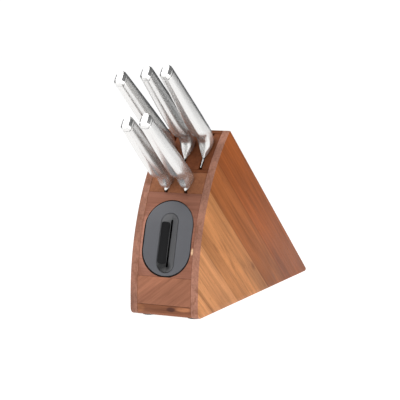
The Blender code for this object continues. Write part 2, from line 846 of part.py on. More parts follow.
def build_blade(name, spec, frame):
    """A blade that tapers to its edge and tip, with the tang that runs up inside the handle."""
    length = spec["blade"]
    top = HANDLE_HEIGHT / 2 * 0.8
    bottom = -spec["edge"]
    tip = spec["tip"]
    rings = [
        blade_ring(-TANG_LENGTH, TANG_TOP, TANG_BOTTOM, BLADE_THICKNESS, BLADE_THICKNESS * 0.9),
        blade_ring(CLEARANCE, TANG_TOP, TANG_BOTTOM, BLADE_THICKNESS, BLADE_THICKNESS * 0.9),
    ]
    steps = 12
    for i in range(steps + 1):
        share = math.sin(math.pi / 2 * i / steps)
        y = 2 * CLEARANCE + (length - 2 * CLEARANCE) * share
        spine = top - (top - tip) * share ** spec["spine_power"]
        edge = bottom + (tip - bottom) * share ** spec["edge_power"] - CUTTING_EDGE
        thickness = BLADE_THICKNESS * (1 - 0.5 * share)
        rings.append(blade_ring(y, spine, edge, thickness, CUTTING_EDGE))
    smooth(add_mesh(f"{name}_blade", loft(rings), STEEL, frame))


def build_knife(name, values, slope):
    spec = dict(zip(KNIFE_FIELDS, values))
    for field in ("drop", "handle", "blade", "heel", "edge", "tip"):
        spec[field] *= MM
    lean = math.radians(spec["lean"])
    pitch = BACK_SLOT_PITCH if spec["row"] == "back" else FRONT_SLOT_PITCH / 2
    heel_out = -spec["drop"] - spec["heel"]
    surface = max(surface_height(heel_out), surface_height(-spec["drop"]))
    seat = surface + SEAT_GAP + spec["heel"] * math.sin(lean)
    frame = add_empty(f"{name}_frame", slope, (spec["place"] * pitch, -seat, -spec["drop"]), lean)
    build_handle(name, spec, frame)
    build_end_cap(name, spec, frame)
    build_blade(name, spec, frame)


# --- Feet ---------------------------------------------------------------------------------------------------


def build_feet(block, base):
    inset = INNER_HALF - FOOT_INSET_X
    corners = {
        "front_left": (-inset, FOOT_INSET_FRONT),
        "front_right": (inset, FOOT_INSET_FRONT),
        "rear_left": (-inset, BLOCK_DEPTH - FOOT_INSET_REAR),
        "rear_right": (inset, BLOCK_DEPTH - FOOT_INSET_REAR),
    }
    bore = SCREW_RADIUS + CLEARANCE
    well = SCREW_HEAD_RADIUS + CLEARANCE
    seat = -FOOT_HEIGHT + SCREW_HEAD
    profile = [
        (bore, -CLEARANCE),
        (FOOT_RADIUS, -CLEARANCE),
        (FOOT_RADIUS * 0.92, -FOOT_HEIGHT),
        (well, -FOOT_HEIGHT),
        (well, seat + CLEARANCE),
        (bore, seat + CLEARANCE),
    ]
    for corner, (x, y) in corners.items():
        turned(f"foot_{corner}", profile, RUBBER, block, (x, y, 0), closed=True, steps=24)
        screw(f"foot_screw_{corner}", block, (x, y, seat), (0, 0, 0))
        hole = cylinder_cutter(
            f"foot_hole_{corner}", bore, 2 * (SCREW_LENGTH + seat + CLEARANCE), block, (x, y, 0)
        )
        boolean(base, hole)


# --- Assembly -----------------------------------------------------------------------------------------------


def centre_on_origin(root):
    """Moves the whole model so that its bounding box stands centred on the origin."""
    bpy.context.view_layer.update()
    depsgraph = bpy.context.evaluated_depsgraph_get()
    reach = []
    for obj in PARTS.objects:
        if obj.type == "MESH":
            evaluated = obj.evaluated_get(depsgraph)
            reach += [(evaluated.matrix_world @ vert.co).y for vert in evaluated.data.vertices]
    root.location.y = -(min(reach) + max(reach)) / 2


def main():
    block = add_empty("block_frame", None, (0, 0, FOOT_HEIGHT))
    slope = add_empty("slope_frame", block, (0, RIDGE.x, RIDGE.y), -SLOPE)
    base, front_boards = build_block(block)
    build_sharpener(block, front_boards)
    for name, values in KNIVES.items():
        build_knife(name, values, slope)
    build_feet(block, base)
    centre_on_origin(block)


main()
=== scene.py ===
"""The looks of a wooden knife block with a built-in wheel sharpener and five all-steel knives.

Every piece stands where the frame's nodes and joints say. Three local frames are worked out from them:
- the grain runs down the back slope, the way the knives slide;
- a knife's frame lies at the end of its bolster, Y into the block, Z towards its spine;
- the sharpener's frame lies on the block's front arc, Y straight in, Z up along the face plate.
"""

import json
import math

import bmesh
import bpy
from mathutils import Matrix, Vector


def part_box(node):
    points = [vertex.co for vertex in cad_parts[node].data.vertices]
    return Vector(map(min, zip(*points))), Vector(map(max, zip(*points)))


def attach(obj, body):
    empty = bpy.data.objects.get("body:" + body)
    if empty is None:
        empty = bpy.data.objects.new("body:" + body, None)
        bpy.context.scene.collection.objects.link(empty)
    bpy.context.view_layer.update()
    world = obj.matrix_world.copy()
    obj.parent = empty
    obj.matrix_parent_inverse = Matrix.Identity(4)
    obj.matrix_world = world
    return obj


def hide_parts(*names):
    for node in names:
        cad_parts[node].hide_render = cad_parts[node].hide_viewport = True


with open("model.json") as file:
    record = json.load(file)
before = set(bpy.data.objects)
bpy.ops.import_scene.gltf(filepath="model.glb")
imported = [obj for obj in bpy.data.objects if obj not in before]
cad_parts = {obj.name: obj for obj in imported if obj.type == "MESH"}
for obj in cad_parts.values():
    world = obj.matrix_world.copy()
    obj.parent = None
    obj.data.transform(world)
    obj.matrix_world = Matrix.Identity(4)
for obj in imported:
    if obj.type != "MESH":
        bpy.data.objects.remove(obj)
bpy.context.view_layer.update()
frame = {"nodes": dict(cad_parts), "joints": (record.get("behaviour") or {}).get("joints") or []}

MM = 0.001
JOINTS = {joint["name"]: joint for joint in frame["joints"]}
SLIDE = Vector(JOINTS["chef_knife_slide"]["axis"])
SLOPE = math.atan2(SLIDE.z, -SLIDE.y)
AXLE = Vector(JOINTS["left_wheel_spin"]["pos_m"])

# Camera
CAMERA_PLACE = (0.6244, -1.4047, 0.3041)
CAMERA_RISE = math.radians(7.2)
CAMERA_ROUND = math.radians(24.505)
CAMERA_LENS = 126.0

# Knives: lean in the slot in degrees, handle length, heel drop below the centre line, blade length, edge drop,
# tip height, spine and edge curve exponents.
KNIVES = {
    "bread_knife": (3.0, 138.0, 17.5, 205.0, 19.0, -9.0, 5.0, 6.0),
    "carving_knife": (0.5, 129.5, 19.5, 195.0, 20.5, 2.0, 6.0, 2.6),
    "chef_knife": (0.0, 129.5, 18.5, 200.0, 30.5, -10.0, 4.0, 3.4),
    "paring_knife": (1.5, 116.0, 9.8, 90.0, 10.4, -3.0, 3.0, 3.0),
    "utility_knife": (1.9, 122.0, 9.8, 130.0, 10.6, -1.0, 4.0, 3.0),
}
HANDLE_HEIGHT = 22.0 * MM
HANDLE_WIDTH = 14.8 * MM
BUTT_HEIGHT = 15.6 * MM
BUTT_WIDTH = 11.6 * MM
END_CAP = 5.0 * MM
CAP_GAP = 0.3 * MM
CAP_SIDE_CHAMFER = 2.4 * MM
CAP_END_ROUND = 0.6 * MM
KEEL_HEIGHT = 15.0 * MM
KEEL_POWER = 0.65
BLADE_THICKNESS = 2.4 * MM
SCALLOP = 6.4 * MM
SCALLOP_DEPTH = 1.1 * MM

# Sharpener
FRONT_RADIUS = 216.0 * MM
PLATE_TILT = math.radians(16.857)
WHEEL_DEPTH = 20.3 * MM
THROAT_DROP = 5.0 * MM
THROAT_WIDTH = 19.2 * MM
THROAT_HEIGHT = 61.9 * MM
THROAT_DEPTH = 7.0 * MM
MOUTH_LIP = 0.8 * MM
SLIT_WIDTH = 2.2 * MM
SLIT_HEIGHT = 50.0 * MM
PLATE_WIDTH = 53.8 * MM
PLATE_HEIGHT = 78.9 * MM
PLATE_THICKNESS = 6.0 * MM
HOLE_WIDTH = 19.8 * MM
HOLE_HEIGHT = 62.5 * MM
PLATE_EDGE = 0.5 * MM
SEAT_GAP = 0.8 * MM

SMOOTH_ANGLE = math.radians(32)
FLOOR_RADIUS = 12.0


# --- Modelling helpers --------------------------------------------------------------------------------------


def deselect_all():
    if bpy.context.object and bpy.context.object.mode != "OBJECT":
        bpy.ops.object.mode_set(mode="OBJECT")
    bpy.ops.object.select_all(action="DESELECT")


def pick(piece):
    deselect_all()
    piece.select_set(True)
    bpy.context.view_layer.objects.active = piece


def apply_modifiers(piece):
    pick(piece)
    for modifier in list(piece.modifiers):
        bpy.ops.object.modifier_apply(modifier=modifier.name)


def settle(piece, place):
    """Puts a piece made about the origin where its frame says, with its place in its mesh."""
    piece.matrix_world = place
    pick(piece)
    bpy.ops.object.transform_apply(location=True, rotation=True, scale=True)
    return piece


def shade(piece, angle=SMOOTH_ANGLE):
    pick(piece)
    bpy.ops.object.shade_smooth_by_angle(angle=angle)
    return piece


def loft(name, rings, round_trip=False):
    """Shapes a circle into the first ring, then extrudes it through the others.

    A round trip comes back to its first ring and is closed there, as a turned tube's wall is.
    """
    deselect_all()
    fill = "NOTHING" if round_trip else "NGON"
    bpy.ops.mesh.primitive_circle_add(vertices=len(rings[0]), fill_type=fill)
    piece = bpy.context.object
    piece.name = name
    piece.data.name = name
    for vert, point in zip(piece.data.vertices, rings[0]):
        vert.co = point
    bpy.ops.object.mode_set(mode="EDIT")
    bpy.ops.mesh.select_all(action="SELECT")
    here = [Vector(point) for point in rings[0]]
    for ring in rings[1:]:
        if round_trip:
            bpy.ops.mesh.extrude_edges_move()
        else:
            bpy.ops.mesh.extrude_region_move()
        mesh = bmesh.from_edit_mesh(piece.data)
        moved = [vert for vert in mesh.verts if vert.select]
        order = {tuple(round(value, 7) for value in point): i for i, point in enumerate(here)}
        there = [Vector(point) for point in ring]
        for vert in moved:
            index = order.get(tuple(round(value, 7) for value in vert.co))
            if index is None:
                index = min(range(len(here)), key=lambda i: (here[i] - vert.co).length_squared)
            vert.co = there[index]
        bmesh.update_edit_mesh(piece.data)
        here = there
    bpy.ops.mesh.select_all(action="SELECT")
    if round_trip:
        bpy.ops.mesh.remove_doubles(threshold=0.000002)
    bpy.ops.mesh.normals_make_consistent(inside=False)
    bpy.ops.object.mode_set(mode="OBJECT")
    return piece


def circle_ring(radius, height, count=48):
    return [
        (radius * math.cos(2 * math.pi * i / count), radius * math.sin(2 * math.pi * i / count), height)
        for i in range(count)
    ]


def turned(name, profile, place, round_trip=False, count=48):
    """A turned piece about the local Z of its place, from (radius, height) steps."""
    rings = [circle_ring(radius, height, count) for radius, height in profile]
    return settle(loft(name, rings, round_trip), place)


def finished(node, edge=0.0):
    """A clean copy of a node's shape: its triangles merged, its edges eased and its curves shaded smooth."""
    source = frame["nodes"][node]
    piece = bpy.data.objects.new(f"{node}_finished", source.data.copy())
    bpy.context.scene.collection.objects.link(piece)
    piece.data.materials.clear()
    pick(piece)
    if piece.data.has_custom_normals:
        bpy.ops.mesh.customdata_custom_splitnormals_clear()
    bpy.ops.object.mode_set(mode="EDIT")
    bpy.ops.mesh.select_all(action="SELECT")
    bpy.ops.mesh.remove_doubles(threshold=0.00001)
    bpy.ops.mesh.dissolve_limited(angle_limit=math.radians(0.3))
    bpy.ops.object.mode_set(mode="OBJECT")
    if edge:
        bevel = piece.modifiers.new("eased edges", "BEVEL")
        bevel.width = edge
        bevel.segments = 2
        bevel.limit_method = "ANGLE"
        bevel.angle_limit = math.radians(40)
        apply_modifiers(piece)
    return shade(piece)


def finish(piece, material, slot, body, *nodes):
    """Gives a piece its material, fixes it to its body, and stands it in for its nodes. The slot is not used."""
    piece.data.materials.clear()
    piece.data.materials.append(material)
    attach(piece, body)
    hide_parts(*nodes)
    return piece


# --- Node groups that several materials share ---------------------------------------------------------------


def new_group(name, inputs, outputs):
    group = bpy.data.node_groups.new(name, "ShaderNodeTree")
    for label, kind, value in inputs:
        socket = group.interface.new_socket(label, in_out="INPUT", socket_type=kind)
        if value is not None:
            socket.default_value = value
    for label, kind in outputs:
        group.interface.new_socket(label, in_out="OUTPUT", socket_type=kind)
    entry = group.nodes.new("NodeGroupInput")
    leave = group.nodes.new("NodeGroupOutput")
    return group, entry, leave


def link(tree, source, target):
    tree.links.new(source, target)


def mapped(tree, vector, scale=(1, 1, 1), turn=(0, 0, 0), move=(0, 0, 0)):
    node = tree.nodes.new("ShaderNodeMapping")
    node.inputs["Scale"].default_value = scale
    node.inputs["Rotation"].default_value = turn
    node.inputs["Location"].default_value = move
    link(tree, vector, node.inputs["Vector"])
    return node.outputs["Vector"]


def noise(tree, vector, detail=4.0, roughness=0.55, distortion=0.0, scale=1.0):
    node = tree.nodes.new("ShaderNodeTexNoise")
    node.inputs["Scale"].default_value = scale
    node.inputs["Detail"].default_value = detail
    node.inputs["Roughness"].default_value = roughness
    node.inputs["Distortion"].default_value = distortion
    link(tree, vector, node.inputs["Vector"])
    return node.outputs["Fac"]


def spread(tree, value, low, high, to_low=0.0, to_high=1.0):
    node = tree.nodes.new("ShaderNodeMapRange")
    node.inputs["From Min"].default_value = low
    node.inputs["From Max"].default_value = high
    node.inputs["To Min"].default_value = to_low
    node.inputs["To Max"].default_value = to_high
    link(tree, value, node.inputs["Value"])
    return node.outputs["Result"]


def reckon(tree, operation, first, second=None):
    node = tree.nodes.new("ShaderNodeMath")
    node.operation = operation
    for socket, value in zip(node.inputs, (first, second)):
        if isinstance(value, (int, float)):
            socket.default_value = value
        elif value is not None:
            link(tree, value, socket)
    return node.outputs[0]


def blend_colours(tree, share, first, second, mode="MIX"):
    node = tree.nodes.new("ShaderNodeMix")
    node.data_type = "RGBA"
    node.blend_type = mode
    for socket, value in ((node.inputs[0], share), (node.inputs[6], first), (node.inputs[7], second)):
        if isinstance(value, (int, float)):
            socket.default_value = value
        elif isinstance(value, tuple):
            socket.default_value = (*value, 1.0)
        else:
            link(tree, value, socket)
    return node.outputs[2]


def timber_group():
    """Hardwood cut from one board. The vector's Y runs along the grain, in metres."""
    group, entry, leave = new_group(
        "timber",
        [
            ("Vector", "NodeSocketVector", None),
            ("Tone", "NodeSocketColor", (0.5, 0.25, 0.12, 1)),
            ("Streak Tone", "NodeSocketColor", (0.2, 0.07, 0.03, 1)),
            ("Streaks", "NodeSocketFloat", 0.5),
            ("Figure", "NodeSocketFloat", 0.3),
            ("Fibre", "NodeSocketFloat", 0.1),
        ],
        [
            ("Color", "NodeSocketColor"),
            ("Roughness", "NodeSocketFloat"),
            ("Height", "NodeSocketFloat"),
        ],
    )
    vector = entry.outputs["Vector"]
    broad = noise(group, mapped(group, vector, (30, 5, 30)), 3.0, 0.5, 0.6)
    band = noise(group, mapped(group, vector, (170, 9, 170), move=(3, 7, 1)), 5.0, 0.62, 0.5)
    line = noise(group, mapped(group, vector, (420, 7, 420), move=(2, 1, 8)), 2.0, 0.6)
    streak = noise(group, mapped(group, vector, (75, 5.5, 75), move=(9, 2, 5)), 4.0, 0.6, 0.8)
    fibre = noise(group, mapped(group, vector, (1300, 45, 1300)), 2.0, 0.6)
    pore = noise(group, mapped(group, vector, (2300, 170, 2300), move=(1, 4, 2)), 1.0, 0.5)

    figure = reckon(group, "ADD", reckon(group, "MULTIPLY", broad, 0.6), reckon(group, "MULTIPLY", band, 0.4))
    lift = reckon(group, "SUBTRACT", spread(group, figure, 0.3, 0.7), 0.5)
    lift = reckon(group, "MULTIPLY", lift, entry.outputs["Figure"])
    fine = reckon(group, "MULTIPLY", reckon(group, "SUBTRACT", fibre, 0.5), entry.outputs["Fibre"])
    lines = reckon(group, "MULTIPLY", reckon(group, "SUBTRACT", line, 0.5), entry.outputs["Figure"])
    gain = reckon(group, "ADD", reckon(group, "ADD", reckon(group, "ADD", lift, lines), fine), 1.0)
    tint = group.nodes.new("ShaderNodeVectorMath")
    tint.operation = "SCALE"
    link(group, entry.outputs["Tone"], tint.inputs[0])
    link(group, gain, tint.inputs["Scale"])

    dark = reckon(group, "MULTIPLY", spread(group, streak, 0.55, 0.74), entry.outputs["Streaks"])
    colour = blend_colours(group, dark, tint.outputs[0], entry.outputs["Streak Tone"])
    pit = spread(group, pore, 0.66, 0.74)
    colour = blend_colours(group, reckon(group, "MULTIPLY", pit, 0.35), colour, entry.outputs["Streak Tone"])
    link(group, colour, leave.inputs["Color"])

    rough = reckon(group, "ADD", spread(group, fibre, 0.3, 0.7, 0.36, 0.48), reckon(group, "MULTIPLY", pit, 0.2))
    link(group, rough, leave.inputs["Roughness"])
    height = reckon(group, "SUBTRACT", reckon(group, "MULTIPLY", fibre, 0.35), pit)
    link(group, height, leave.inputs["Height"])
    return group


def brushed_group():
    """Fine parallel scratches along the vector's Y, in metres, with a faint cloudy wear."""
    group, entry, leave = new_group(
        "brushed",
        [
            ("Vector", "NodeSocketVector", None),
            ("Tone", "NodeSocketColor", (0.7, 0.7, 0.7, 1)),
            ("Roughness", "NodeSocketFloat", 0.25),
            ("Scratches", "NodeSocketFloat", 0.08),
        ],
        [
            ("Color", "NodeSocketColor"),
            ("Roughness", "NodeSocketFloat"),
            ("Height", "NodeSocketFloat"),
        ],
    )
    vector = entry.outputs["Vector"]
    line = noise(group, mapped(group, vector, (2600, 14, 2600)), 3.0, 0.65)
    cloud = noise(group, mapped(group, vector, (60, 25, 60)), 3.0, 0.5)
    swing = reckon(group, "SUBTRACT", line, 0.5)
    gain = reckon(group, "ADD", reckon(group, "MULTIPLY", swing, entry.outputs["Scratches"]), 1.0)
    tint = group.nodes.new("ShaderNodeVectorMath")
    tint.operation = "SCALE"
    link(group, entry.outputs["Tone"], tint.inputs[0])
    link(group, gain, tint.inputs["Scale"])
    link(group, tint.outputs[0], leave.inputs["Color"])
    rough = reckon(group, "ADD", entry.outputs["Roughness"], reckon(group, "MULTIPLY", swing, 0.08))
    rough = reckon(group, "ADD", rough, spread(group, cloud, 0.35, 0.65, -0.015, 0.02))
    link(group, rough, leave.inputs["Roughness"])
    link(group, line, leave.inputs["Height"])
    return group


def speckle_group():
    """A moulded or fired surface: a fine even grain with a faint mottle."""
    group, entry, leave = new_group(
        "speckle",
        [
            ("Vector", "NodeSocketVector", None),
            ("Tone", "NodeSocketColor", (0.1, 0.1, 0.1, 1)),
            ("Grain Size", "NodeSocketFloat", 0.0005),
            ("Mottle", "NodeSocketFloat", 0.1),
            ("Roughness", "NodeSocketFloat", 0.5),
        ],
        [
            ("Color", "NodeSocketColor"),
            ("Roughness", "NodeSocketFloat"),
            ("Height", "NodeSocketFloat"),
        ],
    )
    vector = entry.outputs["Vector"]
    scaled = group.nodes.new("ShaderNodeVectorMath")
    scaled.operation = "SCALE"
    link(group, vector, scaled.inputs[0])
    link(group, reckon(group, "DIVIDE", 1.0, entry.outputs["Grain Size"]), scaled.inputs["Scale"])
    grain = noise(group, scaled.outputs[0], 2.0, 0.5)
    mottle = noise(group, mapped(group, vector, (45, 45, 45)), 4.0, 0.6)
    swing = reckon(group, "MULTIPLY", reckon(group, "SUBTRACT", mottle, 0.5), entry.outputs["Mottle"])
    swing = reckon(group, "ADD", swing, reckon(group, "MULTIPLY", reckon(group, "SUBTRACT", grain, 0.5), 0.08))
    tint = group.nodes.new("ShaderNodeVectorMath")
    tint.operation = "SCALE"
    link(group, entry.outputs["Tone"], tint.inputs[0])
    link(group, reckon(group, "ADD", swing, 1.0), tint.inputs["Scale"])
    link(group, tint.outputs[0], leave.inputs["Color"])
    rough = reckon(group, "ADD", entry.outputs["Roughness"], reckon(group, "MULTIPLY", swing, 0.6))
    link(group, rough, leave.inputs["Roughness"])
    link(group, grain, leave.inputs["Height"])
    return group


TIMBER = timber_group()
BRUSHED = brushed_group()
SPECKLE = speckle_group()


# --- Materials ----------------------------------------------------------------------------------------------


def start_material(name):
    material = bpy.data.materials.new(name)
    material.use_nodes = True
    tree = material.node_tree
    shader = tree.nodes["Principled BSDF"]
    place = tree.nodes.new("ShaderNodeTexCoord").outputs["Object"]
    return material, tree, shader, place


def use_group(tree, shader, group, vector, bump, distance=0.0001, **values):
    """Places a group, sets its named inputs, and feeds the shader's colour, roughness and bump from it."""
    node = tree.nodes.new("ShaderNodeGroup")
    node.node_tree = group
    link(tree, vector, node.inputs["Vector"])
    for label, value in values.items():
        socket = node.inputs[label.replace("_", " ")]
        if isinstance(value, tuple):
            socket.default_value = (*value, 1.0)
        elif isinstance(value, (int, float)):
            socket.default_value = value
        else:
            link(tree, value, socket)
    link(tree, node.outputs["Color"], shader.inputs["Base Color"])
    link(tree, node.outputs["Roughness"], shader.inputs["Roughness"])
    relief = tree.nodes.new("ShaderNodeBump")
    relief.inputs["Strength"].default_value = bump
    relief.inputs["Distance"].default_value = distance
    link(tree, node.outputs["Height"], relief.inputs["Height"])
    link(tree, relief.outputs["Normal"], shader.inputs["Normal"])
    return node


def patch(tree, place, centre, reach, soft=0.4):
    """A mask that is 1 inside an ellipsoid and fades out towards its edge."""
    scale = [1 / size for size in reach]
    moved = mapped(tree, place, scale=scale, move=[-middle * factor for middle, factor in zip(centre, scale)])
    length = tree.nodes.new("ShaderNodeVectorMath")
    length.operation = "LENGTH"
    link(tree, moved, length.inputs[0])
    return spread(tree, length.outputs["Value"], 1.0 - soft, 1.0, 1.0, 0.0)


# Staves of a side panel from the back slope down to the toe: distance in mm where each begins, and its tone.
STAVES = [
    (0, (0.37, 0.10, 0.025)),
    (42, (0.42, 0.13, 0.035)),
    (76, (0.60, 0.25, 0.09)),
    (131, (0.65, 0.29, 0.12)),
]
STAVE_SPAN = 190.0 * MM
# A glue joint shows as a thin line: its half width in mm, and its tone as a share of the stave's above it.
JOINT_WIDTH = 1.2
JOINT_SHADE = 0.7
BAND_TONE = (0.22, 0.07, 0.025)
BAND_STRENGTH = 0.3
PANEL_EDGE_TONE = (0.40, 0.190, 0.130)
KNOT_DOWN = 150.0 * MM
KNOT_DEPTH = 80.0 * MM
KNOT_REACH = (1.0, 0.010, 0.004)
KNOT_TONE = (0.20, 0.065, 0.025)


def side_panel_wood():
    """Edge-glued staves, their grain running down the back slope, and the darker grain of the cut edges."""
    material, tree, shader, place = start_material("oiled side staves")
    low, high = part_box("back_board")
    ridge_out = low.y * math.sin(SLOPE) + high.z * math.cos(SLOPE)
    ridge_along = low.y * math.cos(SLOPE) - high.z * math.sin(SLOPE)
    grain = mapped(tree, place, turn=(SLOPE, 0, 0))
    split = tree.nodes.new("ShaderNodeSeparateXYZ")
    link(tree, grain, split.inputs[0])
    depth = reckon(tree, "SUBTRACT", ridge_out, split.outputs["Z"])
    knot_centre = (0.0, ridge_along + KNOT_DOWN, ridge_out - KNOT_DEPTH)
    marks = [(0, STAVES[0][1])]
    for (_, above), (start, below) in zip(STAVES, STAVES[1:]):
        joint = tuple(JOINT_SHADE * part for part in above)
        marks += [(start - JOINT_WIDTH, above), (start, joint), (start + JOINT_WIDTH, below)]
    ramp = tree.nodes.new("ShaderNodeValToRGB")
    stops = ramp.color_ramp.elements
    while len(stops) < len(marks):
        stops.new(0.5)
    for stop, (distance, tone) in zip(stops, marks):
        stop.position = distance * MM / STAVE_SPAN
        stop.color = (*tone, 1.0)
    link(tree, reckon(tree, "DIVIDE", depth, STAVE_SPAN), ramp.inputs["Fac"])
    bands = noise(tree, mapped(tree, grain, (30, 2.5, 75)), 3.0, 0.55)
    bands = reckon(tree, "MULTIPLY", spread(tree, bands, 0.42, 0.66), BAND_STRENGTH)
    face = blend_colours(tree, bands, ramp.outputs["Color"], BAND_TONE)
    knot = reckon(tree, "MULTIPLY", patch(tree, grain, knot_centre, KNOT_REACH, 0.8), 0.6)
    face = blend_colours(tree, knot, face, KNOT_TONE)
    outward = tree.nodes.new("ShaderNodeSeparateXYZ")
    link(tree, tree.nodes.new("ShaderNodeTexCoord").outputs["Normal"], outward.inputs[0])
    broad = spread(tree, reckon(tree, "ABSOLUTE", outward.outputs["X"]), 0.55, 0.85)
    use_group(
        tree,
        shader,
        TIMBER,
        grain,
        0.15,
        Tone=blend_colours(tree, broad, PANEL_EDGE_TONE, face),
        Streak_Tone=(0.17, 0.055, 0.018),
        Streaks=0.6,
        Figure=0.7,
        Fibre=0.3,
    )
    shader.inputs["Specular IOR Level"].default_value = 0.08
    return material


def seat_gap_painted_shade(tree, place):
    """A mask that is 1 inside the seat of the face plate and the gap round it, whose walls lie in deep shade: the
    board is painted near-black there as painted shade.
    """
    low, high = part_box("sharpener_face")
    middle = Vector((0, 0, (low.z + high.z) / 2))
    split = tree.nodes.new("ShaderNodeSeparateXYZ")
    link(tree, mapped(tree, place, move=tuple(-middle)), split.inputs[0])
    upright = (high.z - low.z) / 2
    radius = (high.x - low.x) / 2 + SEAT_GAP
    rise = reckon(tree, "MULTIPLY", reckon(tree, "ABSOLUTE", split.outputs["Z"]), PLATE_HEIGHT / 2 / upright)
    rise = reckon(tree, "MAXIMUM", reckon(tree, "SUBTRACT", rise, (PLATE_HEIGHT - PLATE_WIDTH) / 2), 0.0)
    across = reckon(tree, "POWER", split.outputs["X"], 2.0)
    away = reckon(tree, "SQRT", reckon(tree, "ADD", across, reckon(tree, "POWER", rise, 2.0)))
    return spread(tree, away, radius, radius + 0.2 * MM, 1.0, 0.0)


def board_wood(name, tone, streak_tone, turn, streaks=0.5, figure=0.6, move=(0, 0, 0), patches=(), seat=False):
    """One board's wood. Each patch is a tone, a centre, a reach and how strongly it shows."""
    material, tree, shader, place = start_material(name)
    colour = tone
    for patch_tone, centre, reach, strength in patches:
        mask = reckon(tree, "MULTIPLY", patch(tree, place, centre, reach), strength)
        colour = blend_colours(tree, mask, colour, patch_tone)
    # The seat: the board round the face plate is painted near-black, a painted shade for the gap's walls.
    if seat:
        colour = blend_colours(tree, seat_gap_painted_shade(tree, place), colour, (0.012, 0.008, 0.006))
    use_group(
        tree,
        shader,
        TIMBER,
        mapped(tree, place, turn=turn, move=move),
        0.15,
        Tone=colour,
        Streak_Tone=streak_tone,
        Streaks=streaks,
        Figure=figure,
        Fibre=0.28,
    )
    shader.inputs["Specular IOR Level"].default_value = 0.08
    return material


def steel(name, tone, roughness, turn, scratches, bump=0.02, metallic=1.0):
    material, tree, shader, place = start_material(name)
    vector = mapped(tree, place, turn=turn)
    use_group(tree, shader, BRUSHED, vector, bump, 0.00005, Tone=tone, Roughness=roughness, Scratches=scratches)
    shader.inputs["Metallic"].default_value = metallic
    return material


def throat_grey_and_painted_shade(tree, place):
    """The throat's own grey, going to a near-black painted shade, as dark as the guide pad, round the left of its
    foot.
    """
    low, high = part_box("sharpener_throat")
    foot = (low.x + 6.0 * MM, (low.y + high.y) / 2, low.z + 5.0 * MM)
    # Painted shade: the lower left of the throat's foot is darkened to near-black.
    mask = patch(tree, place, foot, (0.011, 0.03, 0.0095), 0.4)
    return blend_colours(tree, mask, (0.122, 0.123, 0.128), (0.016, 0.016, 0.017))


def moulded(name, tone, roughness, grain_size, mottle, bump, specular=0.5):
    material, tree, shader, place = start_material(name)
    if callable(tone):
        tone = tone(tree, place)
    values = {"Tone": tone, "Roughness": roughness, "Grain_Size": grain_size, "Mottle": mottle}
    use_group(tree, shader, SPECKLE, place, bump, 0.00006, **values)
    shader.inputs["Specular IOR Level"].default_value = specular
    return material


DOWN_SLOPE = (SLOPE, 0, 0)
CROSSWAYS = (0, 0, math.radians(90))
DIAGONAL = (0, math.radians(38), math.radians(90))

SIDE_WOOD = side_panel_wood()
SHARPENER_BOARD_WOOD = board_wood(
    "cross-grained front",
    (0.30, 0.125, 0.080),
    (0.16, 0.06, 0.040),
    CROSSWAYS,
    patches=[
        ((0.75, 0.50, 0.30), (0.0297, -0.1192, 0.0714), (0.0016, 0.012, 0.0042), 0.9),
        ((0.46, 0.215, 0.155), (-0.020, -0.115, 0.080), (0.016, 0.03, 0.040), 0.9),
    ],
    # seat=True paints near-black painted shade into the gap round the face plate.
    seat=True,
)
LOWER_BOARD_WOOD = board_wood(
    "diagonal-grained front", (0.36, 0.150, 0.088), (0.18, 0.068, 0.042), DIAGONAL, 0.5, 0.7
)
BASE_WOOD = board_wood(
    "streaky base",
    (0.27, 0.105, 0.055),
    (0.09, 0.032, 0.020),
    CROSSWAYS,
    0.8,
    0.8,
    (0, 0.02, 0),
    [
        ((0.52, 0.215, 0.105), (0.022, -0.125, 0.0115), (0.010, 0.012, 0.0030), 0.9),
        ((0.44, 0.180, 0.085), (-0.029, -0.125, 0.0095), (0.008, 0.012, 0.0050), 0.7),
        ((0.08, 0.035, 0.028), (0.008, -0.125, 0.0105), (0.006, 0.012, 0.0030), 0.8),
    ],
)
DECK_WOOD = board_wood("orange deck", (0.34, 0.132, 0.062), (0.13, 0.042, 0.02), DOWN_SLOPE)
# Painted shade: a darker red-brown copy of the deck wood, standing in for the shadow the knives cast on the back
# of the deck; the back board and the row divider wear it too.
DECK_WOOD_IN_PAINTED_SHADE = board_wood("red-brown deck in painted shade", (0.19, 0.058, 0.022), (0.09, 0.026, 0.011), DOWN_SLOPE)
HANDLE_STEEL = steel("satin handle steel", (0.76, 0.755, 0.745), 0.25, DOWN_SLOPE, 0.03, 0.0, 0.86)
BLADE_STEEL = steel("ground blade steel", (0.70, 0.70, 0.70), 0.24, DOWN_SLOPE, 0.10, 0.01)
ZINC = steel("bright zinc", (0.72, 0.73, 0.75), 0.25, (0, 0, 0), 0.05)
PLATE_PLASTIC = moulded("charcoal plate", (0.112, 0.114, 0.126), 0.5, 0.0005, 0.12, 0.12)
THROAT_PLASTIC = moulded("charcoal throat with painted shade", throat_grey_and_painted_shade, 0.45, 0.0005, 0.10, 0.10)
BLACK_PLASTIC = moulded("black moulding", (0.012, 0.012, 0.013), 0.55, 0.0006, 0.15, 0.12, 0.12)
CERAMIC = moulded("fired ceramic", (0.03, 0.03, 0.029), 0.72, 0.0003, 0.2, 0.5, 0.2)
RUBBER = moulded("foot rubber", (0.010, 0.010, 0.010), 0.8, 0.0006, 0.2, 0.2, 0.05)


# --- Wooden block -------------------------------------------------------------------------------------------


